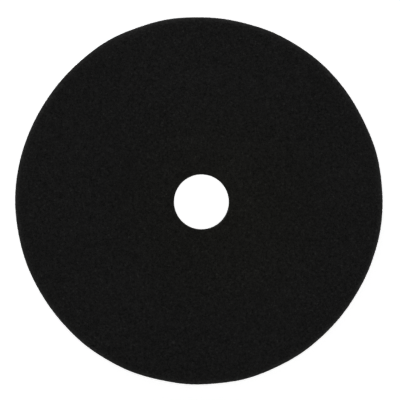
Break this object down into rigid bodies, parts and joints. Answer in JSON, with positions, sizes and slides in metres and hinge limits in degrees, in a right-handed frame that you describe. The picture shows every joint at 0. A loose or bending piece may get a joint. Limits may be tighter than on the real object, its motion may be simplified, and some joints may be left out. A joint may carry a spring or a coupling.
{
  "type": "polishing pad",
  "caption": "Round black foam finishing pad with a tapered wall, a centre hole and a loop-faced backing cloth that grips a hook-faced backing plate on a polishing machine.",
  "frame": {"origin": "centre of the loop face, on the axis of the centre hole; the pad lies on its loops", "axes": "+Z along the hole's axis, out of the polishing face; +X and +Y are any two directions across the round face"},
  "size_m": [0.165, 0.165, 0.0254],
  "materials": {
    "foam": "matte",
    "hot_melt": "satin",
    "ground_knit": "matte",
    "loops": "matte"
  },
  "bodies": {
    "root": {"foam_disc": "foam", "adhesive_film": "hot_melt", "loop_ground_cloth": "ground_knit", "loop_pile": "loops"}
  },
  "joints": []
}
